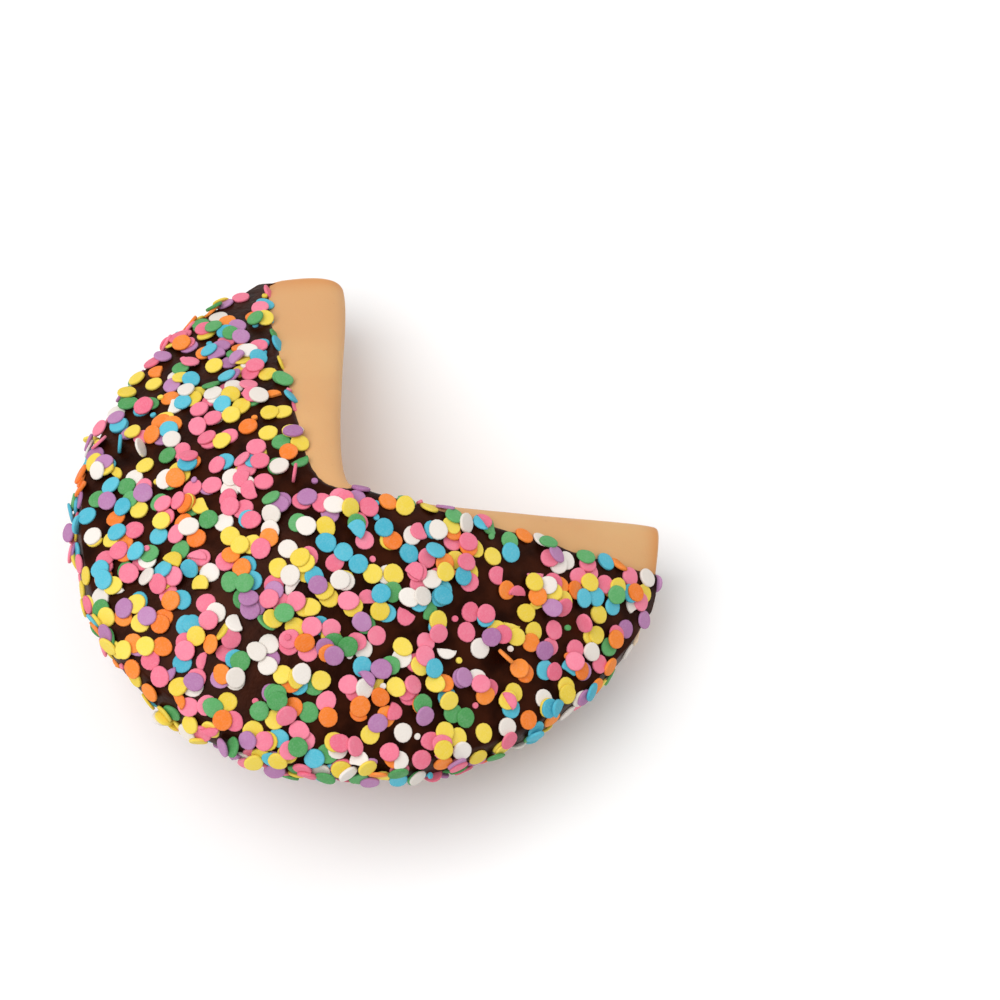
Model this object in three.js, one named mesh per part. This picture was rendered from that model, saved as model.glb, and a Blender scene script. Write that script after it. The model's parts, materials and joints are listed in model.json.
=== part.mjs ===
// A large fortune cookie, coated in dark chocolate except for a bare strip along its fold.
//
// A flat round wafer is folded over a diameter, the spine, without a crease. The folded wafer is
// then bent round the middle of the spine, the notch, until its two wings stand in a V. The two
// layers puff out into a dome over the notch and come together along the rim. Towards each wing's
// tip the rims part again and leave a narrow mouth, and at the tip the wafer is an open gutter.
// The coat covers the outside of both layers from the dip line to the rim, and closes the seam
// between the rims.
//
// While it is shaped, the cookie has its own axes: X runs out from the notch to the middle of the
// rim, Y runs across to one wing, and Z runs through both layers. At the end it is tilted about Y,
// so that it rests on the lower dome, with its middle over the origin. The two wings aren't quite
// alike: where a size differs, the wing at -Y comes first.

import * as THREE from "three";

// Driving sizes, in mm and degrees.
const WAFER_WALL = 2.6;
const COAT_WALL = 1.6;
const COAT_GAP = 0.3; // between the wafer and its coat
const SEAM_SLIT = 0.8; // between the layers, where their rims meet

const TIP_BACK = [81.2, 86.7]; // of a wing's tip, back from the notch
const TIP_ASIDE = [52.1, 55.8];
const TIP_FACING = [59.9, 37.7]; // of the last rib, turned from X
const TIP_HEADING = [164.1, 165.4]; // of the spine at the tip, turned from X
const NOTCH_ROUNDING = 13.4; // how far the spine runs straight across the notch
const SPINE_BOW = [69.2, 77.8]; // how far the spine holds its heading before the tip

const NOTCH_REACH = 39.4; // from the spine to the rim, at the notch
const WING_SPREAD = 0.47; // how much a wing is wider than a round wafer's edge
const WAFER_RADIUS = 110; // along a rib; where the tube of the wing is wider, the rims part
const TIP_BLUNTNESS = 0.977; // under 1: the wafer's edge is cut square at the tips
const MOUTH_WIDTH = 13.4; // of the tube at the tip
const MOUTH_ONSET = 10; // high: the mouth opens only near the tip
const FAN_ANGLE = 41.4; // of a wing's ribs, turned from X
const FAN_ONSET = 0.203; // share of the spine over which the ribs turn
const TIP_TURN = 13.4; // high: the ribs turn to face as the last one only near the tip

const DOME_HEIGHT = 29.2; // of each layer, beside the notch
const TIP_HEIGHT = 9; // of each layer, at a wing's tip
const DOME_SPREAD = 0.81; // share of the spine that the dome covers
const DOME_TAPER = 0.81; // how a rib falls towards the rim: 1 is straight, less is fuller
const TIP_TAPER = 1.2;
const CHEEK = 31.6; // how far the dome overhangs the notch
const CHEEK_FADE = 0.8;
const SPINE_ROUNDING = 0.12; // share of a rib over which the fold rounds

// From the spine to the dip line, along the wafer. The cookie was dipped askew.
const DIP_AT_NOTCH = [43.8, 36];
const DIP_AT_TIP = [28, 21.7];
const DIP_FALL = 2.25; // high: the dip line falls mostly near the tip
const DIP_TURN = 0.1; // share of the spine over which it goes from one wing's line to the other's
const COAT_END = 0.985; // share of the spine where the coat ends
const LEAST_COAT = 0.15; // share of a rib that is coated at least
const SEAM_END = 0.93; // share of the spine where the rims part
const SEAM_RIDGE = 0.4; // how far the coat stands out along the seam
const REST_TILT = 15.7; // at which the cookie balances on its lower dome
const FOOT_DEPTH = 0.5; // of the flat spot where the coat set against the tray

// How finely the surface is cut.
const COATED_RIBS = 20;
const TIP_RIBS = 4;
const BARE_ROWS = 8;
const COATED_ROWS = 8;
const ROW_CROWDING = 1.6;

const RIBS = COATED_RIBS + TIP_RIBS;
const ROWS = BARE_ROWS + COATED_ROWS;
const HALF_WALL = WAFER_WALL / 2;

const { degToRad, lerp } = THREE.MathUtils;

// One wing's half of the spine, from the notch to the tip, as on the wing at +Y.
function makeSpine(wing) {
  const tip = new THREE.Vector3(-TIP_BACK[wing], TIP_ASIDE[wing], 0);
  const heading = degToRad(TIP_HEADING[wing]);
  const bow = new THREE.Vector3(Math.cos(heading), Math.sin(heading), 0);
  return new THREE.CubicBezierCurve3(
    new THREE.Vector3(),
    new THREE.Vector3(0, NOTCH_ROUNDING, 0),
    tip.clone().addScaledVector(bow, -SPINE_BOW[wing]),
    tip,
  );
}

// A rib of the upper layer: it leaves the spine straight up, goes over, and comes down to the rim.
// Its height follows a teardrop, round at the spine and closing at the rim.
class Rib extends THREE.Curve {
  constructor(spines, place) {
    super();
    const wing = place < 0 ? 0 : 1;
    const along = Math.abs(place);
    const fade = 1 - (TIP_BLUNTNESS * along) ** 2;
    this.foot = spines[wing].getPointAt(along);
    const lastTurn = (TIP_FACING[wing] - FAN_ANGLE) * along ** TIP_TURN;
    this.heading = degToRad(FAN_ANGLE * Math.tanh(along / FAN_ONSET) + lastTurn);
    this.taper = lerp(DOME_TAPER, TIP_TAPER, along);
    this.peak = teardrop(0.5 / (0.5 + this.taper), this.taper);
    const dome = Math.exp(-((along / DOME_SPREAD) ** 2)) * (1 - along ** 4);
    this.height = lerp(TIP_HEIGHT, DOME_HEIGHT, dome);
    this.cheek = CHEEK * fade ** CHEEK_FADE;
    const reach = NOTCH_REACH * Math.sqrt(fade) * (1 + WING_SPREAD * along ** 2);
    this.width = Math.hypot(reach, MOUTH_WIDTH * along ** MOUTH_ONSET);
    this.rim = Math.min(1, (WAFER_RADIUS * Math.sqrt(fade)) / this.getLength());
  }

  getPoint(t, point = new THREE.Vector3()) {
    const share = (1 - Math.cos(Math.PI * t)) / 2;
    const rise = teardrop(share, this.taper) / this.peak;
    const overhang = this.cheek * rise * Math.tanh(Math.sqrt(share) / SPINE_ROUNDING);
    const out = this.width * share - overhang;
    const up = this.height * rise + (HALF_WALL + SEAM_SLIT / 2) * Math.sqrt(share);
    return point
      .set(Math.cos(this.heading) * out, Math.sin(this.heading) * out, up)
      .add(this.foot);
  }
}

function teardrop(share, taper) {
  return Math.sqrt(share) * (1 - share) ** taper;
}

// The share of the spine at which a rib stands, below zero on the wing at -Y. Ribs stand closer
// together towards the tips, and one of them stands where the coat ends.
function ribPlace(rib) {
  const coatEnd = Math.asin(COAT_END);
  const step = Math.abs(rib);
  const turn =
    step <= COATED_RIBS
      ? (coatEnd * step) / COATED_RIBS
      : lerp(coatEnd, Math.PI / 2, (step - COATED_RIBS) / TIP_RIBS);
  return Math.sign(rib) * Math.sin(turn);
}

function dipLine(place) {
  const fall = Math.abs(place) ** DIP_FALL;
  const lines = [0, 1].map((wing) => lerp(DIP_AT_NOTCH[wing], DIP_AT_TIP[wing], fall));
  return lerp(...lines, (1 + Math.tanh(place / DIP_TURN)) / 2);
}

// The share of a rib's length at which a row lies. One row follows the dip line, and the others
// crowd towards it, because the wafer bends most sharply there.
function rowPlace(row, place, ribLength) {
  const dip = Math.min(dipLine(place) / ribLength, 1 - LEAST_COAT);
  if (row <= BARE_ROWS) return dip * (1 - (1 - row / BARE_ROWS) ** ROW_CROWDING);
  return lerp(dip, 1, ((row - BARE_ROWS) / COATED_ROWS) ** ROW_CROWDING);
}

// The number of a point of the whole wafer: ribs run from wing to wing, rows from the lower rim
// over the spine to the upper rim.
function pointAt(rib, row) {
  return (rib + RIBS) * (2 * ROWS + 1) + row + ROWS;
}

// The points of the wafer's middle surface on one rib, at the rows asked for.
function pointsOnRib(spines, number, rows) {
  const place = ribPlace(number);
  const rib = new Rib(spines, place);
  return rows.map((row) => {
    const share = rowPlace(Math.abs(row), place, rib.rim * rib.getLength());
    const { x, y, z } = rib.getPointAt(rib.rim * share);
    return new THREE.Vector3(x, Math.sign(number) * y, Math.sign(row) * z);
  });
}

// The wafer's middle surface: its points, the middles of its cells, its faces, and the direction
// out of the cookie at each point.
function foldWafer() {
  const spines = [makeSpine(0), makeSpine(1)];
  const rows = Array.from({ length: 2 * ROWS + 1 }, (_, k) => k - ROWS);
  const halfRows = rows.slice(1).map((row) => row - 0.5);
  const points = [];
  const middles = [];
  for (let i = -RIBS; i <= RIBS; i++) {
    points.push(...pointsOnRib(spines, i, rows));
    if (i < RIBS) middles.push(pointsOnRib(spines, i + 0.5, halfRows));
  }
  const sheet = { points, middles };
  const faces = facesBetween(sheet, [-RIBS, RIBS], [-ROWS, ROWS]);
  return { ...sheet, faces, outward: normalsOf(points, faces) };
}

// Two triangles for each cell of the grid. Each cell is cut along the diagonal that passes closer
// to the surface at the middle of the cell, so that ridges stay smooth.
function facesBetween({ points, middles }, [firstRib, lastRib], [firstRow, lastRow]) {
  const faces = [];
  for (let i = firstRib; i < lastRib; i++) {
    for (let j = firstRow; j < lastRow; j++) {
      const [a, b] = [pointAt(i, j), pointAt(i + 1, j)];
      const [d, c] = [pointAt(i, j + 1), pointAt(i + 1, j + 1)];
      const middle = middles[i + RIBS][j + ROWS];
      const miss = (from, to) => middle.distanceTo(points[from].clone().lerp(points[to], 0.5));
      if (miss(a, c) < miss(b, d)) faces.push([a, c, b], [a, d, c]);
      else faces.push([a, d, b], [b, d, c]);
    }
  }
  return faces;
}

function normalsOf(points, faces) {
  const sheet = new THREE.BufferGeometry().setFromPoints(points);
  sheet.setIndex(faces.flat());
  sheet.computeVertexNormals();
  const normal = sheet.getAttribute("normal");
  return points.map((_, k) => new THREE.Vector3().fromBufferAttribute(normal, k));
}

function offset(points, outward, distance) {
  return points.map((point, k) => point.clone().addScaledVector(outward[k], distance));
}

// A closed body between an outer and an inner surface with the same faces, walled in along the
// edges that belong to one face only.
function closedShell(outer, inner, faces) {
  const count = outer.length;
  const corners = [];
  const edges = new Set(faces.flatMap(([a, b, c]) => [`${a} ${b}`, `${b} ${c}`, `${c} ${a}`]));
  for (const [a, b, c] of faces) {
    corners.push(a, b, c, count + c, count + b, count + a);
    for (const [from, to] of [[a, b], [b, c], [c, a]]) {
      if (edges.has(`${to} ${from}`)) continue;
      corners.push(to, from, count + from, to, count + from, count + to);
    }
  }
  const body = new THREE.BufferGeometry().setFromPoints([...outer, ...inner]);
  body.setIndex(corners);
  return body;
}

function makeWafer({ points, faces, outward }) {
  const outer = offset(points, outward, HALF_WALL);
  const inner = offset(points, outward, -HALF_WALL);
  return closedShell(outer, inner, faces);
}

// The coat lies over the wafer from the dip line to the rim. Where the rims meet, it closes the
// seam with a ridge halfway between the layers.
function makeCoat(wafer) {
  const { points, outward } = wafer;
  const inner = offset(points, outward, HALF_WALL + COAT_GAP);
  const outer = offset(points, outward, HALF_WALL + COAT_GAP + COAT_WALL);
  const coatedRibs = [-COATED_RIBS, COATED_RIBS];
  const faces = [
    ...facesBetween(wafer, coatedRibs, [BARE_ROWS, ROWS]),
    ...facesBetween(wafer, coatedRibs, [-ROWS, -BARE_ROWS]),
  ];
  const seamEnd = ribsBefore(SEAM_END);
  const ridge = [];
  for (let i = -seamEnd; i <= seamEnd; i++) {
    const out = outward[pointAt(i, ROWS)].clone().setZ(0).normalize();
    for (const surface of [inner, outer]) {
      const middle = surface[pointAt(i, ROWS)].clone().setZ(0);
      surface.push(middle.addScaledVector(out, SEAM_RIDGE));
    }
    ridge.push(inner.length - 1);
  }
  for (let i = -seamEnd; i < seamEnd; i++) {
    const [near, far] = [ridge[i + seamEnd], ridge[i + seamEnd + 1]];
    const [top, topFar] = [pointAt(i, ROWS), pointAt(i + 1, ROWS)];
    const [low, lowFar] = [pointAt(i, -ROWS), pointAt(i + 1, -ROWS)];
    faces.push([top, far, topFar], [top, near, far], [near, lowFar, far], [near, low, lowFar]);
  }
  return closedShell(outer, inner, faces);
}

function ribsBefore(along) {
  let rib = 0;
  while (ribPlace(rib + 1) < along) rib++;
  return rib;
}

const wafer = foldWafer();
const bodies = {
  wafer: makeWafer(wafer),
  chocolate_coat: makeCoat(wafer),
};
const finishes = {
  wafer: { color: 0xd9a566, roughness: 0.62, metalness: 0 },
  chocolate_coat: { color: 0x24100a, roughness: 0.35, metalness: 0 },
};

// Turns the bodies to rest and stands them on Z = 0, with a flat spot where they touch it.
function layDown(geometries) {
  for (const geometry of geometries) geometry.rotateY(-degToRad(REST_TILT));
  const box = new THREE.Box3().setFromPoints(geometries.flatMap(pointsOf));
  const middle = box.getCenter(new THREE.Vector3());
  for (const geometry of geometries) {
    geometry.translate(-middle.x, -middle.y, -box.min.z - FOOT_DEPTH);
    const position = geometry.getAttribute("position");
    for (let k = 0; k < position.count; k++) {
      position.setZ(k, Math.max(position.getZ(k), 0));
    }
  }
}

function pointsOf(geometry) {
  const position = geometry.getAttribute("position");
  const points = [];
  for (let k = 0; k < position.count; k++) {
    points.push(new THREE.Vector3().fromBufferAttribute(position, k));
  }
  return points;
}

layDown(Object.values(bodies));

const cookie = new THREE.Group();
for (const [name, geometry] of Object.entries(bodies)) {
  const mesh = new THREE.Mesh(geometry, new THREE.MeshStandardMaterial(finishes[name]));
  mesh.name = name;
  cookie.add(mesh);
}

export default cookie;
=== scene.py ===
"""A large fortune cookie, dipped in dark chocolate and rolled in sugar confetti.

The folded wafer and its coat are made here as fine, rounded surfaces from the same sizes as the
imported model. The confetti is laid disc by disc, each one resting on the chocolate and on the
discs below it.
"""

import itertools
import json
import math

import bmesh
import bpy
import numpy as np
from mathutils import Matrix, Vector, noise
from mathutils.bvhtree import BVHTree

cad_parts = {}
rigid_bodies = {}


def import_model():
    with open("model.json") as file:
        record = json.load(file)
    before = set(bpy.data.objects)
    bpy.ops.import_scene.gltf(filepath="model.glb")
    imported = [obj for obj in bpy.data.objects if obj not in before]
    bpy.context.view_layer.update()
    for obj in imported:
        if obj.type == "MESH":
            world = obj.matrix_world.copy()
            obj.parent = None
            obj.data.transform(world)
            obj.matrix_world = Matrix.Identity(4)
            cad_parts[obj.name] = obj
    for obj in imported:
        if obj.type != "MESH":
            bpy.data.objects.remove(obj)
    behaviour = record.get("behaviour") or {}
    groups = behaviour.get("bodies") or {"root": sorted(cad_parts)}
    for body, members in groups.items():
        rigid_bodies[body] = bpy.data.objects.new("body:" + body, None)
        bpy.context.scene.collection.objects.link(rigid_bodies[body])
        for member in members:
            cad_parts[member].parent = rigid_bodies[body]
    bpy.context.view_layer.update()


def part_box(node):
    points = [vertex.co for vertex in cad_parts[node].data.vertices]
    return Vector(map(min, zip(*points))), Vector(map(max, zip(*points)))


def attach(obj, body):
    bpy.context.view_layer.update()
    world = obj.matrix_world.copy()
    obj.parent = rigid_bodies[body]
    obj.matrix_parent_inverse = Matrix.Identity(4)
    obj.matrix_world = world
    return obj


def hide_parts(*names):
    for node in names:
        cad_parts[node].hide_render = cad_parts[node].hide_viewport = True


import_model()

# The folded wafer, in metres and degrees. In the cookie's own axes, X runs out from the notch to
# the middle of the rim, Y across to one wing, and Z through both layers. Where a size differs by
# wing, the one for the bare wing, at -Y, comes first.
WAFER_WALL = 0.0026
HALF_WALL = WAFER_WALL / 2
SEAM_SLIT = 0.0008
TIP_BACK, TIP_ASIDE = (0.0812, 0.0867), (0.0521, 0.0558)
TIP_HEADING, TIP_FACING, TIP_TURN = (164.1, 165.4), (59.9, 37.7), 13.4
NOTCH_ROUNDING, SPINE_BOW = 0.0134, (0.0692, 0.0778)
NOTCH_REACH, WING_SPREAD, WAFER_RADIUS = 0.0394, 0.47, 0.110
TIP_BLUNTNESS, MOUTH_WIDTH, MOUTH_ONSET = 0.977, 0.0134, 10
FAN_ANGLE, FAN_ONSET = 41.4, 0.203
DOME_HEIGHT, TIP_HEIGHT, DOME_SPREAD = 0.0292, 0.0090, 0.81
DOME_TAPER, TIP_TAPER = 0.81, 1.2
CHEEK, CHEEK_FADE, SPINE_ROUNDING = 0.0316, 0.8, 0.12
REST_TILT = 15.7
TOAST_WIDTH = 0.004  # of the browned end of each tip
WAFER_UNEVENNESS = (60, 0.10, 3)  # of its wall: bumps in a metre, share of the wall, and seed
EDGE_HIGHLIGHT_GAIN = 2.2  # how soon the pale painted highlight shows where an edge of the wafer rounds off
LOWER_LIP = 0.0050  # how far the lower rim stands out past the upper one, at the mouth at +Y
LIP_RISE = 0.035  # share of the spine over which it comes to stand out
WAFER_RIBS, WAFER_ROWS = 181, 84  # rows on one layer
BEND_SHARE = 0.45  # how much the rows crowd where the wafer bends
LEAST_RIB_GAP = 0.003  # share of the spine left free beside the ribs of a round tip

# The coat.
COAT_WALL = 0.0016
DIP_AT_NOTCH = (0.0438, 0.0360)
DIP_AT_TIP = (0.0280, 0.0217)
DIP_FALL, DIP_TURN = 2.25, 0.1
DIP_WAVE, DIP_RIPPLE = 0.0006, 0.00025
LOWER_DIP_DROP = 0.016  # how much further out the lower layer's dip line lies, at the tips
LOWER_COAT_STOP = 0.006  # how far from the tips the lower layer's coat stops
LEAST_STRIP = 0.0035  # width of the strip down the rim that is coated in full
LEAST_SKIN = 0.02  # share of the coat's wall that is left where it has stopped, inside the wafer
COAT_EDGE = 0.0012  # width over which the coat rounds off
DIP_THINNING = 0.012  # width over which it thins towards the dip line
DIP_WALL, DIP_SWELL = 0.45, 0.7  # share of the wall at the dip line, and how it swells from there
COAT_UNEVENNESS = ((120, 0.16, 12), (420, 0.07, 5))  # lumps and ripples, as for the wafer
SEAM_UNEVENNESS = (160, 0.3, 21)
SEAM_END, SEAM_FADE = 0.93, 0.025  # share of the spine where the rims part
SEAM_HOLLOW = 0.86  # how far out the seam's bottom lies, as a share of the coat beside it
SEAM_LEAN, SEAM_BEND = 0.35, 0.8  # how far it leans down, and how high the coat bends into it
COAT_ROOT = 0.0003  # how deep the coat's hidden side lies in the wafer
ROOT_GAIN = 4  # how soon that side leaves the wafer's middle, where the coat begins
COAT_RIBS, COAT_ROWS, SEAM_ROWS = 221, 62, 5

# Confetti discs.
DISC_DIAMETER, DISC_THICKNESS = 0.0048, 0.00075
DISC_SIDES = 16
DISC_KINDS = ["whole"] * 8 + ["chipped"] * 2 + ["half"] * 2 + ["crumb"] * 2
DISC_SHARES = np.array([0.108] * 8 + [0.025] * 2 + [0.018] * 2 + [0.025] * 2)
DISC_SINK = 0.00018  # into the soft chocolate
DISC_DROPS = 4200
STAY_ON_TOP = 0.28  # share of the discs that stay where they land on others
RUBBED_WIDTH, RUBBED_LEAST = 0.009, 0.04  # by the tips and the mouth at +Y, where few discs stick
RUBBED_FROM = 0.80  # where the rubbed part of the rim begins, as a share of the spine
ON_EDGE, EDGE_TILT = 0.03, (50, 85)  # share of the discs that stick on edge, and their tilt
LEAST_FACING = 0.5  # a disc turned further than this can't be landed on
SIZE_SPREAD, THICKNESS_RANGE = 0.03, (0.85, 1.2)  # as shares of a disc's own
CRUMB_SIZE, CRUMB_REACH = 0.33, 0.35  # share of a disc that is made, and that rests
MOST_LIFT, MOST_SLOPE = 0.0021, 0.9
SEED = 7

# Sugar colours, and how common each one is.
SUGAR = {
    "pink": ((0.85, 0.225, 0.325), 0.25),
    "yellow": ((0.85, 0.66, 0.088), 0.19),
    "blue": ((0.10, 0.50, 0.63), 0.13),
    "orange": ((0.90, 0.265, 0.032), 0.09),
    "green": ((0.11, 0.39, 0.13), 0.11),
    "purple": ((0.49, 0.23, 0.44), 0.105),
    "white": ((0.83, 0.77, 0.71), 0.10),
}

EDGE_STEPS = np.array([0.0, 0.06, 0.22, 0.5, 1.0])  # of a round edge, as shares of its width
CURVE_STEPS = 700
NOISE_STEP = 17.3  # between the noise of one seed and the next
JOIN_WITHIN = 2e-6  # points this close are one
PROBE_FROM, PROBE_MISS = 0.006, -0.003  # where a probe starts over the skin, and where it ends


# ---- The shape of the fold -------------------------------------------------------------------

def lerp(a, b, t):
    return a + (b - a) * t


def smooth(share):
    """Eases from 0 to 1 as the share does."""
    share = np.clip(share, 0, 1)
    return share**2 * (3 - 2 * share)


def teardrop(share, taper):
    return np.sqrt(share) * (1 - share) ** taper


def spine_curve(wing):
    """One wing's half of the spine: its length, and points at growing shares of it."""
    heading = math.radians(TIP_HEADING[wing])
    tip = np.array([-TIP_BACK[wing], TIP_ASIDE[wing]])
    bow = np.array([math.cos(heading), math.sin(heading)])
    corners = [np.zeros(2), np.array([0, NOTCH_ROUNDING]), tip - bow * SPINE_BOW[wing], tip]
    t = np.linspace(0, 1, CURVE_STEPS)[:, None]
    weights = [(1 - t) ** 3, 3 * t * (1 - t) ** 2, 3 * t**2 * (1 - t), t**3]
    points = sum(w * c for w, c in zip(weights, corners))
    run = np.concatenate([[0], np.cumsum(np.linalg.norm(np.diff(points, axis=0), axis=1))])
    return run[-1], run / run[-1], points


SPINES = [spine_curve(wing) for wing in (0, 1)]
SPINE_LENGTH = (SPINES[0][0] + SPINES[1][0]) / 2


def ribs_at(places):
    """For ribs at these places along the spine, -1 to 1: foot, heading, and, down each rib,
    distance from the spine, reach and height. It ends with how long each rib is."""
    along = np.abs(places)[:, None]
    dipped = places[:, None] > 0
    fade = 1 - (TIP_BLUNTNESS * along) ** 2
    last_turn = (np.where(dipped, *TIP_FACING[::-1]) - FAN_ANGLE) * along**TIP_TURN
    heading = np.radians(FAN_ANGLE * np.tanh(along / FAN_ONSET) + last_turn)
    taper = lerp(DOME_TAPER, TIP_TAPER, along)
    dome = np.exp(-((along / DOME_SPREAD) ** 2)) * (1 - along**4)
    height = lerp(TIP_HEIGHT, DOME_HEIGHT, dome)
    reach = NOTCH_REACH * np.sqrt(fade) * (1 + WING_SPREAD * along**2)
    width = np.hypot(reach, MOUTH_WIDTH * along**MOUTH_ONSET)
    share = (1 - np.cos(np.linspace(0, np.pi, CURVE_STEPS)[None, :])) / 2
    rise = teardrop(share, taper) / teardrop(0.5 / (0.5 + taper), taper)
    cheek = CHEEK * fade**CHEEK_FADE
    out = width * share - cheek * rise * np.tanh(np.sqrt(share) / SPINE_ROUNDING)
    up = height * rise + (HALF_WALL + SEAM_SLIT / 2) * np.sqrt(share)
    run = np.cumsum(np.hypot(np.diff(out, prepend=0), np.diff(up, prepend=0)), axis=1)
    feet = [
        np.stack([np.interp(along[:, 0], shares, points[:, k]) for k in (0, 1)], 1)
        for _, shares, points in SPINES
    ]
    foot = np.where(dipped, feet[1], feet[0])
    length = np.minimum(run[:, -1], WAFER_RADIUS * np.sqrt(fade[:, 0]))
    return foot, heading[:, 0], run, out, up, length


def parting(places):
    """How far the rims stand apart: 0 where the coat shuts the seam, and 1 at the mouths."""
    return np.clip((np.abs(places) - SEAM_END) / SEAM_FADE, 0, 1)


def fold(places, distances, lower_lip=LOWER_LIP):
    """Points of the wafer's middle surface on these ribs, at signed distances from the spine. The
    lower layer's distances are below zero."""
    foot, heading, run, out, up, length = ribs_at(places)
    lip = lower_lip * smooth((places - SEAM_END) / LIP_RISE)
    points = np.empty(distances.shape + (3,))
    for k, row in enumerate(distances):
        reach = np.interp(np.abs(row), run[k], out[k])
        reach += lip[k] * np.clip(-row / length[k], 0, 1) ** 4
        side = np.sign(places[k]) or 1
        points[k, :, 0] = foot[k, 0] + math.cos(heading[k]) * reach
        points[k, :, 1] = side * (foot[k, 1] + math.sin(heading[k]) * reach)
        points[k, :, 2] = np.sign(row) * np.interp(np.abs(row), run[k], up[k])
    return points


def evenly_bent(places, starts, ends, count):
    """Distances down each rib, from a start to an end, that crowd where the wafer bends."""
    _, _, run, out, up, _ = ribs_at(places)
    distances = np.empty((len(places), count))
    for k, (start, end) in enumerate(zip(starts, ends)):
        turn = np.abs(np.diff(np.unwrap(np.arctan2(np.diff(up[k]), np.diff(out[k])))))
        bent = np.concatenate([[0, 0], np.cumsum(turn)])
        walk = np.linspace(start, end, CURVE_STEPS)
        bend = np.interp(walk, run[k], bent)
        bend = (bend - bend[0]) / max(bend[-1] - bend[0], 1e-9)
        measure = lerp((walk - start) / (end - start), bend, BEND_SHARE)
        distances[k] = np.interp(np.linspace(0, 1, count), measure, walk)
    return distances


def normals_of(points):
    """Directions square to a grid of points, out of the cookie."""
    across = np.gradient(points, axis=0)
    down = np.gradient(points, axis=1)
    normals = np.cross(down, across)
    return normals / np.maximum(np.linalg.norm(normals, axis=2, keepdims=True), 1e-12)


def unit(vectors):
    return vectors / np.maximum(np.linalg.norm(vectors, axis=-1, keepdims=True), 1e-12)


def rib_places(count):
    """Places of ribs from tip to tip, closer together towards the tips."""
    return np.sin(np.linspace(-math.pi / 2, math.pi / 2, count))


def distance_to_tip(places):
    return (1 - np.abs(places)) * SPINE_LENGTH


def tilted(points):
    tilt = math.radians(REST_TILT)
    x, y, z = np.moveaxis(points, -1, 0)
    turned = [x * math.cos(tilt) - z * math.sin(tilt), y, x * math.sin(tilt) + z * math.cos(tilt)]
    return np.stack(turned, -1)


def resting_place():
    """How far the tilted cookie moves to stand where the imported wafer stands."""
    places = rib_places(WAFER_RIBS)
    upper = evenly_bent(places, np.zeros(len(places)), ribs_at(places)[-1], WAFER_ROWS)
    own = tilted(fold(places, np.concatenate([-upper, upper], 1), lower_lip=0)).reshape(-1, 3)
    packed = np.array(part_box("wafer"))
    return packed.mean(0) - (own.min(0) + own.max(0)) / 2


def lay_down(points):
    """Brings points from the cookie's own axes to where it rests."""
    laid = tilted(points) + RESTING_PLACE
    laid[..., 2] = np.maximum(laid[..., 2], 0)
    return laid


RESTING_PLACE = resting_place()


def rough(points, scale, strength, seed):
    """Smooth random heights at points, from -strength to strength."""
    flat = points.reshape(-1, 3) * scale + seed * NOISE_STEP
    values = [noise.noise(Vector(p)) for p in flat]
    return strength * np.array(values).reshape(points.shape[:-1])


# ---- Meshes ----------------------------------------------------------------------------------

def grid_faces(rows, columns, first=0):
    """Corner numbers of the cells of a grid of points."""
    k = np.arange(rows * columns).reshape(rows, columns) + first
    return np.stack([k[:-1, :-1], k[:-1, 1:], k[1:, 1:], k[1:, :-1]], -1).reshape(-1, 4)


def add_to_scene(name, data):
    thing = bpy.data.objects.new(name, data)
    bpy.context.scene.collection.objects.link(thing)
    return thing


def new_piece(name, points, faces, material, marks=()):
    """A closed, smooth mesh. Points that meet are joined, and its faces point outwards. Marks are
    values for each point that its material reads."""
    mesh = bpy.data.meshes.new(name)
    mesh.from_pydata(points.tolist(), [], faces.tolist())
    for mark in marks:
        mesh.attributes.new(mark, "FLOAT", "POINT").data.foreach_set("value", marks[mark])
    soft = bmesh.new()
    soft.from_mesh(mesh)
    bmesh.ops.remove_doubles(soft, verts=soft.verts, dist=JOIN_WITHIN)
    bmesh.ops.holes_fill(soft, edges=soft.edges, sides=8)
    bmesh.ops.recalc_face_normals(soft, faces=soft.faces)
    soft.to_mesh(mesh)
    open_edges = sum(1 for edge in soft.edges if len(edge.link_faces) != 2)
    soft.free()
    print(f"{name}: {len(mesh.vertices)} points, {open_edges} open edges")
    mesh.polygons.foreach_set("use_smooth", [True] * len(mesh.polygons))
    mesh.materials.append(material)
    return add_to_scene(name, mesh)


def rounding(distance, width):
    """How much of its full wall a round edge has, at a distance from the edge."""
    return np.sqrt(1 - (1 - np.clip(distance / width, 0, 1)) ** 2)


def with_round_ends(places, width):
    """The ribs, with closer ones where the edge of a tip rounds off."""
    ends = 1 - EDGE_STEPS * width / SPINE_LENGTH
    inner = places[np.abs(places) < ends[-1] - LEAST_RIB_GAP]
    return np.concatenate([-ends, inner, ends[::-1]])


def rows_down(places, starts, ends, count, start_edge=0.0, end_edge=0.0):
    """Rows of distances down each rib, with closer ones where an edge of this width rounds off."""
    starts, ends = starts.reshape(-1, 1), ends.reshape(-1, 1)
    rows = evenly_bent(places, starts[:, 0] + start_edge, ends[:, 0] - end_edge, count)
    if start_edge:
        rows = np.concatenate([starts + EDGE_STEPS[:-1] * start_edge, rows], 1)
    if end_edge:
        rows = np.concatenate([rows, ends - EDGE_STEPS[-2::-1] * end_edge], 1)
    return rows


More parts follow.
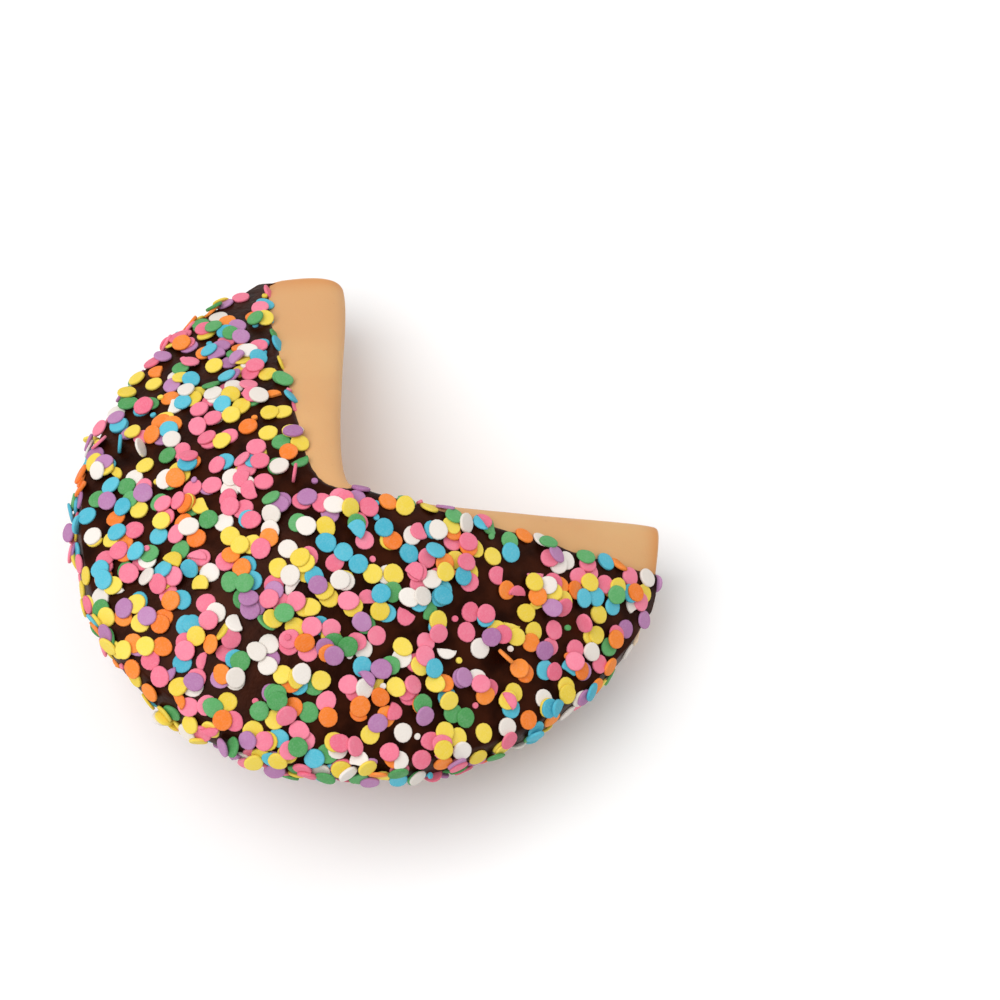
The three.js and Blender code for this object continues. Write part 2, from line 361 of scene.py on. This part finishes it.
def make_wafer(material):
    """The whole wafer: two surfaces half a wall from its middle, which meet in a round edge."""
    places = with_round_ends(rib_places(WAFER_RIBS), HALF_WALL)
    length = ribs_at(places)[-1][:, None]
    upper = rows_down(places, np.zeros(len(places)), length, WAFER_ROWS, end_edge=HALF_WALL)
    distances = np.concatenate([-upper[:, :0:-1], upper], 1)
    middle = fold(places, distances)
    from_tip = distance_to_tip(places[:, None])
    tip_edge = rounding(from_tip, HALF_WALL)
    rim_edge = rounding(length - np.abs(distances), HALF_WALL)
    uneven = 1 + rough(middle, *WAFER_UNEVENNESS)
    offset = (HALF_WALL * tip_edge * rim_edge * uneven)[..., None] * normals_of(middle)
    points = lay_down(np.concatenate([middle + offset, middle - offset]))
    rows, columns = distances.shape
    outer = grid_faces(rows, columns)
    faces = np.concatenate([outer, outer[:, ::-1] + rows * columns])
    # A painted highlight: pale colour where the wafer's edges round off, carried in the mark named
    # cut.
    cut = np.clip(EDGE_HIGHLIGHT_GAIN * (1 - tip_edge * rim_edge), 0, 1)
    toast = np.exp(-((from_tip / TOAST_WIDTH) ** 2)) * np.ones(columns)
    marks = {"cut": np.tile(cut.ravel(), 2), "toast": np.tile(toast.ravel(), 2)}
    return new_piece("folded_wafer", points.reshape(-1, 3), faces, material, marks)


def dip_distance(places, layer):
    """How far down each rib the coat of a layer begins."""
    fall = np.abs(places) ** DIP_FALL
    bare, dipped = (lerp(DIP_AT_NOTCH[wing], DIP_AT_TIP[wing], fall) for wing in (0, 1))
    line = lerp(bare, dipped, (1 + np.tanh(places / DIP_TURN)) / 2)
    if layer < 0:
        line += LOWER_DIP_DROP * np.abs(places) ** 6
    wave = [noise.noise(Vector((place * 9, 0.3, 4.1 * layer))) for place in places]
    ripple = [noise.noise(Vector((place * 70, 1.7, 2.3 * layer))) for place in places]
    return line + DIP_WAVE * np.array(wave) + DIP_RIPPLE * np.array(ripple)


def coat_layer(layer, places):
    """The outer and the hidden side of the coat on one layer: 1 is the upper one and -1 the lower.
    Where the rims are shut, the grid goes on past the rim down to the bottom of the seam, where
    the coats of the two layers meet. It ends with how far each rib's rim stands open."""
    length = ribs_at(places)[-1][:, None]
    line = dip_distance(places, layer)[:, None]
    dip = np.minimum(line, length - LEAST_STRIP)
    distances = rows_down(places, dip, length, COAT_ROWS, COAT_EDGE, COAT_EDGE)
    middle = fold(places, layer * distances)
    normals = layer * normals_of(middle)
    open_share = parting(places)[:, None]
    past, to_rim = distances - dip, length - distances
    from_tip = distance_to_tip(places[:, None])
    coated = np.clip((length - line) / LEAST_STRIP, 0, 1)
    if layer < 0:
        coated = coated * rounding(from_tip - LOWER_COAT_STOP, COAT_EDGE)
    thinning = lerp(DIP_WALL, 1, np.clip(past / DIP_THINNING, 0, 1) ** DIP_SWELL)
    lumps = 1
    for scale, strength, seed in COAT_UNEVENNESS:
        lumps = lumps + rough(middle, scale, strength, seed + layer)
    edges = rounding(past, COAT_EDGE) * rounding(from_tip, COAT_EDGE)
    edges = edges * lerp(1, rounding(to_rim, COAT_EDGE), open_share) * lerp(LEAST_SKIN, 1, coated)
    wafer_edges = rounding(from_tip, HALF_WALL) * lerp(1, rounding(to_rim, HALF_WALL), open_share)
    root = np.maximum(HALF_WALL * wafer_edges - COAT_ROOT, 0) * np.clip(ROOT_GAIN * coated, 0, 1)
    reach = root + (COAT_ROOT + COAT_WALL * thinning * lumps) * edges
    outer = middle + reach[..., None] * normals
    inner = middle + root[..., None] * normals
    outer_seam, inner_seam = seam_bottom(middle, normals)
    columns = []
    for side, bottom in ((outer, outer_seam), (inner, inner_seam)):
        rim = side[:, -1]
        bend = bottom + rim * [0, 0, SEAM_BEND]
        for step in np.arange(1, SEAM_ROWS + 1) / SEAM_ROWS:
            down = (1 - step) ** 2 * rim + 2 * step * (1 - step) * bend + step**2 * bottom
            columns.append(lerp(down, rim, open_share))
    outer = np.concatenate([outer, np.stack(columns[:SEAM_ROWS], 1)], 1)
    inner = np.concatenate([inner, np.stack(columns[SEAM_ROWS:], 1)], 1)
    return outer, inner, open_share[:, 0]


def seam_bottom(middle, normals):
    """Where the coats of the two layers meet, halfway between the rims: the outer and the hidden
    side. It is the same worked out from either layer."""
    flat = np.array([1, 1, 0])
    rim = middle[:, -1] * flat
    down = unit((middle[:, -1] - middle[:, -2]) * flat)
    out = unit(normals[:, -1] * flat + SEAM_LEAN * down)
    facing = np.sum(normals[:, -1] * out, -1, keepdims=True)
    skin = COAT_WALL * (1 + rough(rim, *SEAM_UNEVENNESS))[:, None]
    outer = rim + out * (SEAM_HOLLOW * facing * (HALF_WALL + skin) + (1 - facing) * skin)
    inner = rim + out * (facing * (HALF_WALL - COAT_ROOT) + (1 - facing) * COAT_ROOT)
    return outer, inner


def make_coat(material):
    """The coat of both layers as one closed body."""
    places = with_round_ends(rib_places(COAT_RIBS), COAT_EDGE)
    sides, faces, first = [], [], 0
    for layer in (1, -1):
        outer, inner, open_share = coat_layer(layer, places)
        rows, columns = outer.shape[:2]
        count = rows * columns
        numbers = np.arange(count).reshape(rows, columns)[:, -1] + first
        near, far = numbers[:-1], numbers[1:]
        walls = np.stack([near, far, far + count, near + count], -1)
        parted = np.maximum(open_share[:-1], open_share[1:]) > 0
        faces += [grid_faces(rows, columns, first), grid_faces(rows, columns, first + count)]
        faces.append(walls[parted])
        sides += [outer.reshape(-1, 3), inner.reshape(-1, 3)]
        first += 2 * count
    points = lay_down(np.concatenate(sides))
    coating = new_piece("chocolate_coating", points, np.concatenate(faces), material)
    skins = [lay_down(side).reshape(rows, columns, 3) for side in (sides[0], sides[2])]
    return coating, skins


# ---- Confetti --------------------------------------------------------------------------------

def node_adder(tree):
    """A short way to add a node: its settings by name, and its inputs by name or place."""
    def add(kind, inputs=(), **settings):
        node = tree.nodes.new(kind)
        for name, value in settings.items():
            setattr(node, name, value)
        for socket, value in dict(inputs).items():
            if isinstance(value, bpy.types.NodeSocket):
                tree.links.new(value, node.inputs[socket])
            else:
                node.inputs[socket].default_value = value
        return node
    return add


def disc_outline(kind, rng):
    """The outline of a pressed sugar disc of radius 1: whole, chipped, halved or a crumb."""
    turn = np.arange(DISC_SIDES) * 2 * math.pi / DISC_SIDES
    radius = np.ones(DISC_SIDES)
    for wave, depth in ((2, 0.065), (3, 0.04), (5, 0.018)):
        radius += rng.uniform(0, depth) * np.cos(wave * turn + rng.uniform(0, 6))
    outline = np.stack([radius * np.cos(turn), radius * np.sin(turn)], 1)
    cut = {"whole": 2.0, "chipped": 0.45, "half": 0.0, "crumb": 2.0}[kind]
    ragged = rng.uniform(-0.06, 0.06, DISC_SIDES)
    outline[:, 0] = np.where(outline[:, 0] > cut, cut + ragged, outline[:, 0])
    return outline * (CRUMB_SIZE if kind == "crumb" else 1.0)


def make_disc(name, outline):
    """One disc: flat faces and a soft edge."""
    radius = DISC_DIAMETER / 2
    top = DISC_THICKNESS / 2
    rings = [(0.90, -top), (1.0, -0.55 * top), (1.0, 0.45 * top)]
    rings += [(0.96, 0.85 * top), (0.88, top), (0.78, 1.04 * top)]
    points = [
        (radius * share * x, radius * share * y, z) for share, z in rings for x, y in outline
    ]
    faces = [list(range(DISC_SIDES))[::-1]]
    for ring in range(len(rings) - 1):
        first = ring * DISC_SIDES
        for k in range(DISC_SIDES):
            after = (k + 1) % DISC_SIDES
            low, high = first, first + DISC_SIDES
            faces.append([low + k, low + after, high + after, high + k])
    last = (len(rings) - 1) * DISC_SIDES
    faces.append(list(range(last, last + DISC_SIDES)))
    mesh = bpy.data.meshes.new(name)
    mesh.from_pydata(points, [], faces)
    mesh.polygons.foreach_set("use_smooth", [True] * len(mesh.polygons))
    return bpy.data.objects.new(name, mesh)


def make_disc_kinds(rng):
    """The discs that the confetti is picked from, in the order of DISC_KINDS."""
    kinds = bpy.data.collections.new("disc_kinds")
    for k, kind in enumerate(DISC_KINDS):
        kinds.objects.link(make_disc(f"disc_{k:02d}", disc_outline(kind, rng)))
    return kinds


def span(p, q):
    """Twice the area of the triangle between each two flat vectors."""
    return p[:, 0] * q[:, 1] - p[:, 1] * q[:, 0]


def support_pattern():
    """Points under a disc, as shares of its radius, and every three of them that can carry it.
    Each three comes with the share of its weight that each point takes."""
    rings = ((0.38, 6, 0.0), (0.72, 9, 0.2), (0.99, 15, 0.0))
    spots = [
        (r * math.cos(start + 2 * math.pi * k / n), r * math.sin(start + 2 * math.pi * k / n))
        for r, n, start in rings
        for k in range(n)
    ]
    spots = np.array(spots)
    trios = np.array(list(itertools.combinations(range(len(spots)), 3)))
    a, b, c = (spots[trios[:, k]] for k in range(3))
    double_area = span(b - a, c - a)
    double_area[np.abs(double_area) < 1e-6] = np.nan  # three in a line carry nothing
    weights = np.stack([span(b, c), span(c, a), span(a, b)], 1) / double_area[:, None]
    good = np.all(weights > 0.02, axis=1)
    return spots, trios[good], weights[good]


def skin_cells(skins):
    """The cells of the coat's outer skin: their corners, the direction out of each one, and how
    well discs stick there. They rub off by the tips and round the mouth at +Y."""
    corners, outward, stick = [], [], []
    ribs = with_round_ends(rib_places(COAT_RIBS), COAT_EDGE)
    place = ((ribs[:-1] + ribs[1:]) / 2)[:, None]
    from_tip = distance_to_tip(place)
    by_tip = np.clip(from_tip / RUBBED_WIDTH, RUBBED_LEAST, 1)
    for layer, skin in zip((1, -1), skins):
        a, b, c, d = skin[:-1, :-1], skin[:-1, 1:], skin[1:, 1:], skin[1:, :-1]
        corners.append(np.stack([a, b, c, d], 2).reshape(-1, 4, 3))
        outward.append(layer * np.cross(c - a, d - b).reshape(-1, 3))
        from_rim = np.linalg.norm(a - a[:, [-SEAM_ROWS]], axis=2)
        from_mouth = from_rim + np.maximum(RUBBED_FROM - place, 0) * SPINE_LENGTH
        by_mouth = np.clip(from_mouth / RUBBED_WIDTH, RUBBED_LEAST, 1)
        coated = (layer > 0) | (from_tip > LOWER_COAT_STOP)
        stick.append((by_tip * by_mouth * coated).ravel())
    return np.concatenate(corners), np.concatenate(outward), np.concatenate(stick)


def ground_under(tree, spots, normal):
    """How high the skin stands at each spot under a disc, seen along the disc's normal."""
    heights = np.full(len(spots), PROBE_MISS)
    for k, spot in enumerate(spots):
        start = Vector(spot + normal * PROBE_FROM)
        hit, _, _, drop = tree.ray_cast(start, Vector(-normal), 2 * PROBE_FROM)
        if hit is not None:
            heights[k] = PROBE_FROM - drop
    return heights


def raise_by_discs(heights, under, normal, middles, axes):
    """Raises the heights to the tops of the discs that lie there. Next to a disc on edge nothing
    can land, so there they all come out too high."""
    for middle, axis in zip(middles, axes):
        facing = axis @ normal
        if facing < LEAST_FACING:
            return np.ones(len(heights))
        top = middle + axis * DISC_THICKNESS / 2
        rise = ((top - under) @ axis) / facing
        inside = np.linalg.norm(under + rise[:, None] * normal - top, axis=1) < DISC_DIAMETER / 2
        heights = np.where(inside, np.maximum(heights, rise), heights)
    return heights


def lay_confetti(skins, rng):
    """Drops discs on the coat one by one. Each one comes to rest on the skin and on the discs
    that it lands on. Returns the middle, turn, size, kind, colour and tone of each disc."""
    spots, trios, weights = support_pattern()
    corners, outward, stick = skin_cells(skins)
    hold = stick * np.linalg.norm(outward, axis=1)
    tree = BVHTree.FromPolygons(
        corners.reshape(-1, 3).tolist(), np.arange(len(corners) * 4).reshape(-1, 4).tolist()
    )
    radius, thick = DISC_DIAMETER / 2, DISC_THICKNESS
    drops = rng.choice(len(corners), DISC_DROPS, p=hold / hold.sum())
    middles, axes, discs = np.empty((0, 3)), np.empty((0, 3)), []
    shares = np.array([share for _, share in SUGAR.values()])
    for cell in drops:
        u, v = rng.random(2)
        kind = rng.choice(len(DISC_KINDS), p=DISC_SHARES / DISC_SHARES.sum())
        colour = rng.choice(len(SUGAR), p=shares / shares.sum())
        tone, spin, chance, lean = rng.random(4)
        size = np.append(1 + rng.normal(0, SIZE_SPREAD, 2), rng.uniform(*THICKNESS_RANGE))
        a, b, c, d = corners[cell]
        place = (1 - u) * ((1 - v) * a + v * b) + u * ((1 - v) * d + v * c)
        normal = outward[cell] / np.linalg.norm(outward[cell])
        side = unit(np.cross(normal, [0.31, 0.77, 0.55]))
        ahead = np.cross(normal, side)
        reach = radius * (CRUMB_REACH if DISC_KINDS[kind] == "crumb" else 1.0)
        near = np.linalg.norm(middles - place, axis=1) < radius + reach
        if not near.any() and chance < ON_EDGE:
            tilt = math.radians(lerp(*EDGE_TILT, lean))
            heading = math.cos(6.3 * spin) * side + math.sin(6.3 * spin) * ahead
            axis = math.cos(tilt) * normal + math.sin(tilt) * heading
            middle = place + normal * (radius * math.sin(tilt) - 2 * DISC_SINK)
        else:
            under = place + reach * (spots[:, :1] * side + spots[:, 1:] * ahead)
            heights = ground_under(tree, under, normal)
            heights = raise_by_discs(heights, under, normal, middles[near], axes[near])
            lift, slope, steep = rest_on(heights, spots * reach, trios, weights)
            if lift > MOST_LIFT or math.hypot(slope, steep) > MOST_SLOPE:
                continue
            if lift > thick / 2 and chance > STAY_ON_TOP:
                continue
            axis = unit(normal - slope * side - steep * ahead)
            middle = place + normal * (lift - DISC_SINK) + axis * thick / 2
        if middle[2] < radius * math.hypot(axis[0], axis[1]) + thick / 2:
            continue
        middles, axes = np.vstack([middles, middle]), np.vstack([axes, axis])
        first = unit(np.cross(axis, normal + [0.013, 0.021, 0.017]))
        turn = Matrix((first, np.cross(axis, first), axis)).transposed()
        turn = turn @ Matrix.Rotation(spin * 2 * math.pi, 3, "Z")
        discs.append((middle, turn.to_euler(), size, kind, colour, tone))
    print(f"confetti: {len(discs)} discs stay on")
    return discs


def rest_on(heights, spots, trios, weights):
    """The lowest plane over the supports: its height over the middle, and its two slopes."""
    carried = np.sum(weights * heights[trios], axis=1)
    trio = trios[np.argmax(carried)]
    return np.linalg.solve(np.column_stack([np.ones(3), spots[trio]]), heights[trio])


def confetti_tree():
    """Puts a pressed disc on every point of one sugar colour."""
    tree = bpy.data.node_groups.new("confetti_of_one_colour", "GeometryNodeTree")
    face = tree.interface
    face.new_socket("Places", in_out="INPUT", socket_type="NodeSocketGeometry")
    face.new_socket("Disc Kinds", in_out="INPUT", socket_type="NodeSocketCollection")
    face.new_socket("Colour Number", in_out="INPUT", socket_type="NodeSocketInt")
    face.new_socket("Disc Scale", in_out="INPUT", socket_type="NodeSocketFloat")
    face.new_socket("Finish", in_out="INPUT", socket_type="NodeSocketMaterial")
    face.new_socket("Confetti", in_out="OUTPUT", socket_type="NodeSocketGeometry")

    add = node_adder(tree)

    def named(name, data_type):
        node = add("GeometryNodeInputNamedAttribute", {"Name": name}, data_type=data_type)
        return node.outputs["Attribute"]

    given = add("NodeGroupInput").outputs
    other = add(
        "FunctionNodeCompare", {2: named("colour", "INT"), 3: given["Colour Number"]},
        data_type="INT", operation="NOT_EQUAL",
    )
    own = add(
        "GeometryNodeDeleteGeometry",
        {"Geometry": given["Places"], "Selection": other.outputs[0]}, domain="POINT",
    )
    kinds = add(
        "GeometryNodeCollectionInfo",
        {"Collection": given["Disc Kinds"], "Separate Children": True, "Reset Children": True},
    )
    turn = add("FunctionNodeEulerToRotation", {0: named("turn", "FLOAT_VECTOR")})
    size = add(
        "ShaderNodeVectorMath",
        {0: named("size", "FLOAT_VECTOR"), "Scale": given["Disc Scale"]}, operation="SCALE",
    )
    place = add(
        "GeometryNodeInstanceOnPoints",
        {"Points": own.outputs[0], "Instance": kinds.outputs[0], "Pick Instance": True,
         "Instance Index": named("kind", "INT"), "Rotation": turn.outputs[0],
         "Scale": size.outputs[0]},
    )
    real = add("GeometryNodeRealizeInstances", {0: place.outputs[0]})
    finish = add(
        "GeometryNodeSetMaterial", {"Geometry": real.outputs[0], "Material": given["Finish"]}
    )
    add("NodeGroupOutput", {"Confetti": finish.outputs[0]})
    return tree


def make_confetti(discs, kinds, finishes):
    """One piece for each sugar colour."""
    places = bpy.data.meshes.new("disc_places")
    places.from_pydata([tuple(disc[0]) for disc in discs], [], [])
    columns = (("turn", "FLOAT_VECTOR", 1), ("size", "FLOAT_VECTOR", 2), ("kind", "INT", 3))
    columns += (("colour", "INT", 4), ("tone", "FLOAT", 5))
    for name, data_type, column in columns:
        values = places.attributes.new(name, data_type, "POINT")
        field = "vector" if data_type == "FLOAT_VECTOR" else "value"
        values.data.foreach_set(field, np.ravel([disc[column] for disc in discs]))
    spots = add_to_scene("disc_places", places)
    tree = confetti_tree()
    sockets = {item.name: item.identifier for item in tree.interface.items_tree}
    pieces = []
    for number, (name, finish) in enumerate(finishes.items()):
        layer = spots.modifiers.new("confetti", "NODES")
        layer.node_group = tree
        layer[sockets["Disc Kinds"]] = kinds
        layer[sockets["Colour Number"]] = number
        layer[sockets["Disc Scale"]] = 1.0
        layer[sockets["Finish"]] = finish
        graph = bpy.context.evaluated_depsgraph_get()
        mesh = bpy.data.meshes.new_from_object(
            spots.evaluated_get(graph), preserve_all_data_layers=True, depsgraph=graph
        )
        spots.modifiers.remove(layer)
        for extra in ("turn", "size", "kind", "colour"):
            if extra in mesh.attributes:
                mesh.attributes.remove(mesh.attributes[extra])
        mesh.name = f"confetti_{name}"
        pieces.append(add_to_scene(mesh.name, mesh))
    bpy.data.objects.remove(spots)
    for disc in list(kinds.objects):
        bpy.data.objects.remove(disc)
    bpy.data.collections.remove(kinds)
    return pieces


# ---- Finishes --------------------------------------------------------------------------------

def effect_group(name, inputs, outputs):
    """An empty shader group with float and colour sockets."""
    tree = bpy.data.node_groups.new(name, "ShaderNodeTree")
    for in_out, sockets in (("INPUT", inputs), ("OUTPUT", outputs)):
        for label, kind in sockets.items():
            tree.interface.new_socket(label, in_out=in_out, socket_type=f"NodeSocket{kind}")
    add = node_adder(tree)
    return tree, add, add("NodeGroupInput").outputs


def object_place(add):
    return add("ShaderNodeTexCoord").outputs["Object"]


def blend(add, share, tone, other):
    """Goes from one colour to the other as the share goes from 0 to 1."""
    return add("ShaderNodeMix", {0: share, 6: tone, 7: other}, data_type="RGBA").outputs[2]


def make_grain():
    """Fine and coarse unevenness together, from 0 to 1 about a middle of one half."""
    tree, add, given = effect_group(
        "grain", {"Size": "Float", "Coarse Share": "Float"}, {"Height": "Float"}
    )
    place = object_place(add)
    size = given["Size"]
    tight = add("ShaderNodeMath", {0: 1.0, 1: size}, operation="DIVIDE").outputs[0]
    loose = add("ShaderNodeMath", {0: tight, 1: 0.2}, operation="MULTIPLY").outputs[0]
    fine = add("ShaderNodeTexNoise", {"Vector": place, "Scale": tight, "Detail": 3.0})
    coarse = add("ShaderNodeTexNoise", {"Vector": place, "Scale": loose, "Detail": 2.0})
    both = add(
        "ShaderNodeMix",
        {0: given["Coarse Share"], 2: fine.outputs["Fac"], 3: coarse.outputs["Fac"]},
    )
    add("NodeGroupOutput", {"Height": both.outputs[0]})
    return tree


def make_mottle():
    """Soft patches of two tones."""
    tree, add, given = effect_group(
        "mottle",
        {"Tone": "Color", "Other Tone": "Color", "Patch": "Float", "Balance": "Float"},
        {"Color": "Color"},
    )
    place = object_place(add)
    scale = add("ShaderNodeMath", {0: 1.0, 1: given["Patch"]}, operation="DIVIDE").outputs[0]
    patches = add("ShaderNodeTexNoise", {"Vector": place, "Scale": scale, "Detail": 3.0})
    share = add(
        "ShaderNodeMapRange",
        {"Value": patches.outputs["Fac"], "From Min": 0.3, "From Max": 0.7},
        interpolation_type="SMOOTHSTEP",
    )
    amount = add(
        "ShaderNodeMath", {0: share.outputs[0], 1: given["Balance"]}, operation="MULTIPLY"
    )
    mixed = blend(add, amount.outputs[0], given["Tone"], given["Other Tone"])
    add("NodeGroupOutput", {"Color": mixed})
    return tree


def new_finish(name):
    material = bpy.data.materials.new(name)
    material.use_nodes = True
    add = node_adder(material.node_tree)
    return material, add, material.node_tree.nodes["Principled BSDF"]


def join(material, output, socket):
    material.node_tree.links.new(output, socket)


def settle(shader, values):
    for label, value in values.items():
        shader.inputs[label].default_value = value


def rgba(colour):
    return (*colour, 1.0)


def mottled(add, tone, other, patch, balance):
    """Patches of two tones: how wide they are, and how far they go to the other tone."""
    values = {"Tone": rgba(tone), "Other Tone": rgba(other), "Patch": patch, "Balance": balance}
    return add("ShaderNodeGroup", values, node_tree=MOTTLE).outputs[0]


def roughened(material, add, skin, size, coarse_share, strength, depth):
    """Gives the skin a grain that it can be felt by, and returns the grain's height."""
    values = {"Size": size, "Coarse Share": coarse_share}
    height = add("ShaderNodeGroup", values, node_tree=GRAIN).outputs[0]
    bump = add("ShaderNodeBump", {"Strength": strength, "Distance": depth, "Height": height})
    join(material, bump.outputs[0], skin.inputs["Normal"])
    return height


def make_baked_wafer():
    """Golden wafer: soft toasting, fine flecks, a faintly pitted skin, and a pale painted
    highlight where its edges round off.
    """
    material, add, skin = new_finish("baked_wafer")
    tone = mottled(add, (0.70, 0.405, 0.175), (0.66, 0.345, 0.145), 0.030, 0.8)
    flecks = add("ShaderNodeTexVoronoi", {"Scale": 420.0, "Vector": object_place(add)})
    fleck = add(
        "ShaderNodeMapRange",
        {"Value": flecks.outputs["Distance"], "From Min": 0.05, "From Max": 0.20,
         "To Min": 1.0, "To Max": 0.0},
    )
    rare = add("ShaderNodeTexNoise", {"Scale": 90.0, "Vector": object_place(add)})
    seldom = add(
        "ShaderNodeMapRange",
        {"Value": rare.outputs["Fac"], "From Min": 0.58, "From Max": 0.70, "To Max": 0.45},
    )
    amount = add(
        "ShaderNodeMath", {0: fleck.outputs[0], 1: seldom.outputs[0]}, operation="MULTIPLY"
    )
    toast = add("ShaderNodeAttribute", attribute_name="toast").outputs["Fac"]
    # The mark named cut holds the painted highlight on the wafer's rounded edges.
    cut = add("ShaderNodeAttribute", attribute_name="cut").outputs["Fac"]
    for share, other in (
        (amount.outputs[0], (0.42, 0.17, 0.05)),
        (toast, (0.63, 0.27, 0.085)),
        # pale cream painted highlight on the rounded edges
        (cut, (0.86, 0.66, 0.46)),
    ):
        tone = blend(add, share, tone, rgba(other))
    join(material, tone, skin.inputs["Base Color"])
    roughened(material, add, skin, 0.0006, 0.5, 0.35, 0.0003)
    settle(skin, {"Roughness": 0.62, "Specular IOR Level": 0.35})
    settle(skin, {"Subsurface Weight": 0.12, "Subsurface Radius": (0.004, 0.002, 0.001)})
    return material


def make_dark_chocolate():
    """Set dark chocolate: almost black, softly glossy, a little lumpy."""
    material, add, skin = new_finish("dark_chocolate")
    tone = mottled(add, (0.010, 0.0018, 0.0005), (0.038, 0.0082, 0.0027), 0.007, 1.0)
    join(material, tone, skin.inputs["Base Color"])
    height = roughened(material, add, skin, 0.0011, 0.6, 0.5, 0.0006)
    shine = add("ShaderNodeMapRange", {"Value": height, "To Min": 0.26, "To Max": 0.46})
    join(material, shine.outputs[0], skin.inputs["Roughness"])
    settle(skin, {"Specular IOR Level": 0.10, "Specular Tint": rgba((1.0, 0.5, 0.4))})
    return material


def make_sugar(name, colour):
    """Pressed sugar: matt, grainy, each disc a little lighter or darker than the next."""
    material, add, skin = new_finish(f"sugar_{name}")
    deep = tuple(channel**1.25 * 0.93 for channel in colour)
    dusty = tuple(lerp(channel, 1, 0.35) for channel in colour)
    tone = add("ShaderNodeAttribute", attribute_name="tone").outputs["Fac"]
    mixed = blend(add, tone, rgba(colour), rgba(deep))
    height = roughened(material, add, skin, 0.0004, 0.35, 0.4, 0.0002)
    dust = add(
        "ShaderNodeMapRange",
        {"Value": height, "From Min": 0.45, "From Max": 0.75, "To Max": 0.22},
    )
    dusted = blend(add, dust.outputs[0], mixed, rgba(dusty))
    join(material, dusted, skin.inputs["Base Color"])
    settle(skin, {"Roughness": 0.7, "Specular IOR Level": 0.3})
    return material


def make_floor_finish():
    material, _, skin = new_finish("pale_floor")
    settle(skin, {"Base Color": rgba((0.96, 0.96, 0.96)), "Roughness": 0.75})
    return material


# ---- The cookie ------------------------------------------------------------------------------

GRAIN, MOTTLE = make_grain(), make_mottle()
rng = np.random.default_rng(SEED)

folded_wafer = make_wafer(make_baked_wafer())
coating, skins = make_coat(make_dark_chocolate())
discs = lay_confetti(skins, rng)
finishes = {name: make_sugar(name, colour) for name, (colour, _) in SUGAR.items()}
confetti = make_confetti(discs, make_disc_kinds(rng), finishes)

for piece in (folded_wafer, coating, *confetti):
    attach(piece, "root")
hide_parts("wafer")
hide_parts("chocolate_coat")


# ---- Floor, light and camera -----------------------------------------------------------------

FLOOR_SIDE = 6.0
VIEW_AZIMUTH, VIEW_ELEVATION, VIEW_DISTANCE = 133.5, 67.7, 0.65
AIM_POINT = (-0.010, 0.0, 0.0)  # in the cookie's own axes
AIM_PIXEL = (296.5, 574.7)  # where that point lies in a picture of 1000 by 1000
PICTURE_SIDE = 1000
PIXELS_PER_METRE = 4000.0
SENSOR = 36.0


def make_floor():
    mesh = bpy.data.meshes.new("floor")
    half = FLOOR_SIDE / 2
    corners = [(-half, -half, 0), (half, -half, 0), (half, half, 0), (-half, half, 0)]
    mesh.from_pydata(corners, [], [(0, 1, 2, 3)])
    mesh.materials.append(make_floor_finish())
    add_to_scene("floor", mesh)


def seen_from(azimuth, elevation):
    """The direction from the cookie to an eye at these angles."""
    a, e = math.radians(azimuth), math.radians(elevation)
    return Vector((math.sin(a) * math.cos(e), -math.cos(a) * math.cos(e), math.sin(e)))


def add_soft_light(name, azimuth, elevation, distance, side, power):
    lamp = bpy.data.lights.new(name, "AREA")
    lamp.shape, lamp.size, lamp.energy = "SQUARE", side, power
    light = add_to_scene(name, lamp)
    back = seen_from(azimuth, elevation)
    light.location = back * distance
    light.rotation_euler = back.to_track_quat("Z", "Y").to_euler()


def add_camera():
    """A camera at the cookie, turned a little so that the aim point falls on its pixel."""
    lens = bpy.data.cameras.new("camera")
    lens.sensor_width = SENSOR
    focal_pixels = PIXELS_PER_METRE * VIEW_DISTANCE
    lens.lens = focal_pixels / PICTURE_SIDE * SENSOR
    lens.clip_start, lens.clip_end = 0.05, 20
    camera = add_to_scene("camera", lens)
    aim = Vector(lay_down(np.array([AIM_POINT]))[0])
    back = seen_from(VIEW_AZIMUTH, VIEW_ELEVATION)
    facing = back.to_track_quat("Z", "Y")
    middle = PICTURE_SIDE / 2
    ray = Vector((AIM_PIXEL[0] - middle, middle - AIM_PIXEL[1], -focal_pixels))
    camera.rotation_mode = "QUATERNION"
    camera.rotation_quaternion = facing @ ray.rotation_difference(Vector((0, 0, -1)))
    camera.location = aim + back * VIEW_DISTANCE
    bpy.context.scene.camera = camera


def set_room_light(strength):
    world = bpy.data.worlds.new("room")
    world.use_nodes = True
    background = world.node_tree.nodes["Background"]
    settle(background, {"Color": rgba((1.0, 1.0, 1.0)), "Strength": strength})
    bpy.context.scene.world = world


make_floor()
set_room_light(0.60)
add_soft_light("ceiling", VIEW_AZIMUTH + 285, 64, distance=1.3, side=1.0, power=11.8)
add_soft_light("window", VIEW_AZIMUTH + 130, 35, distance=1.2, side=0.7, power=1.6)
add_camera()
bpy.context.scene.view_settings.view_transform = "Standard"
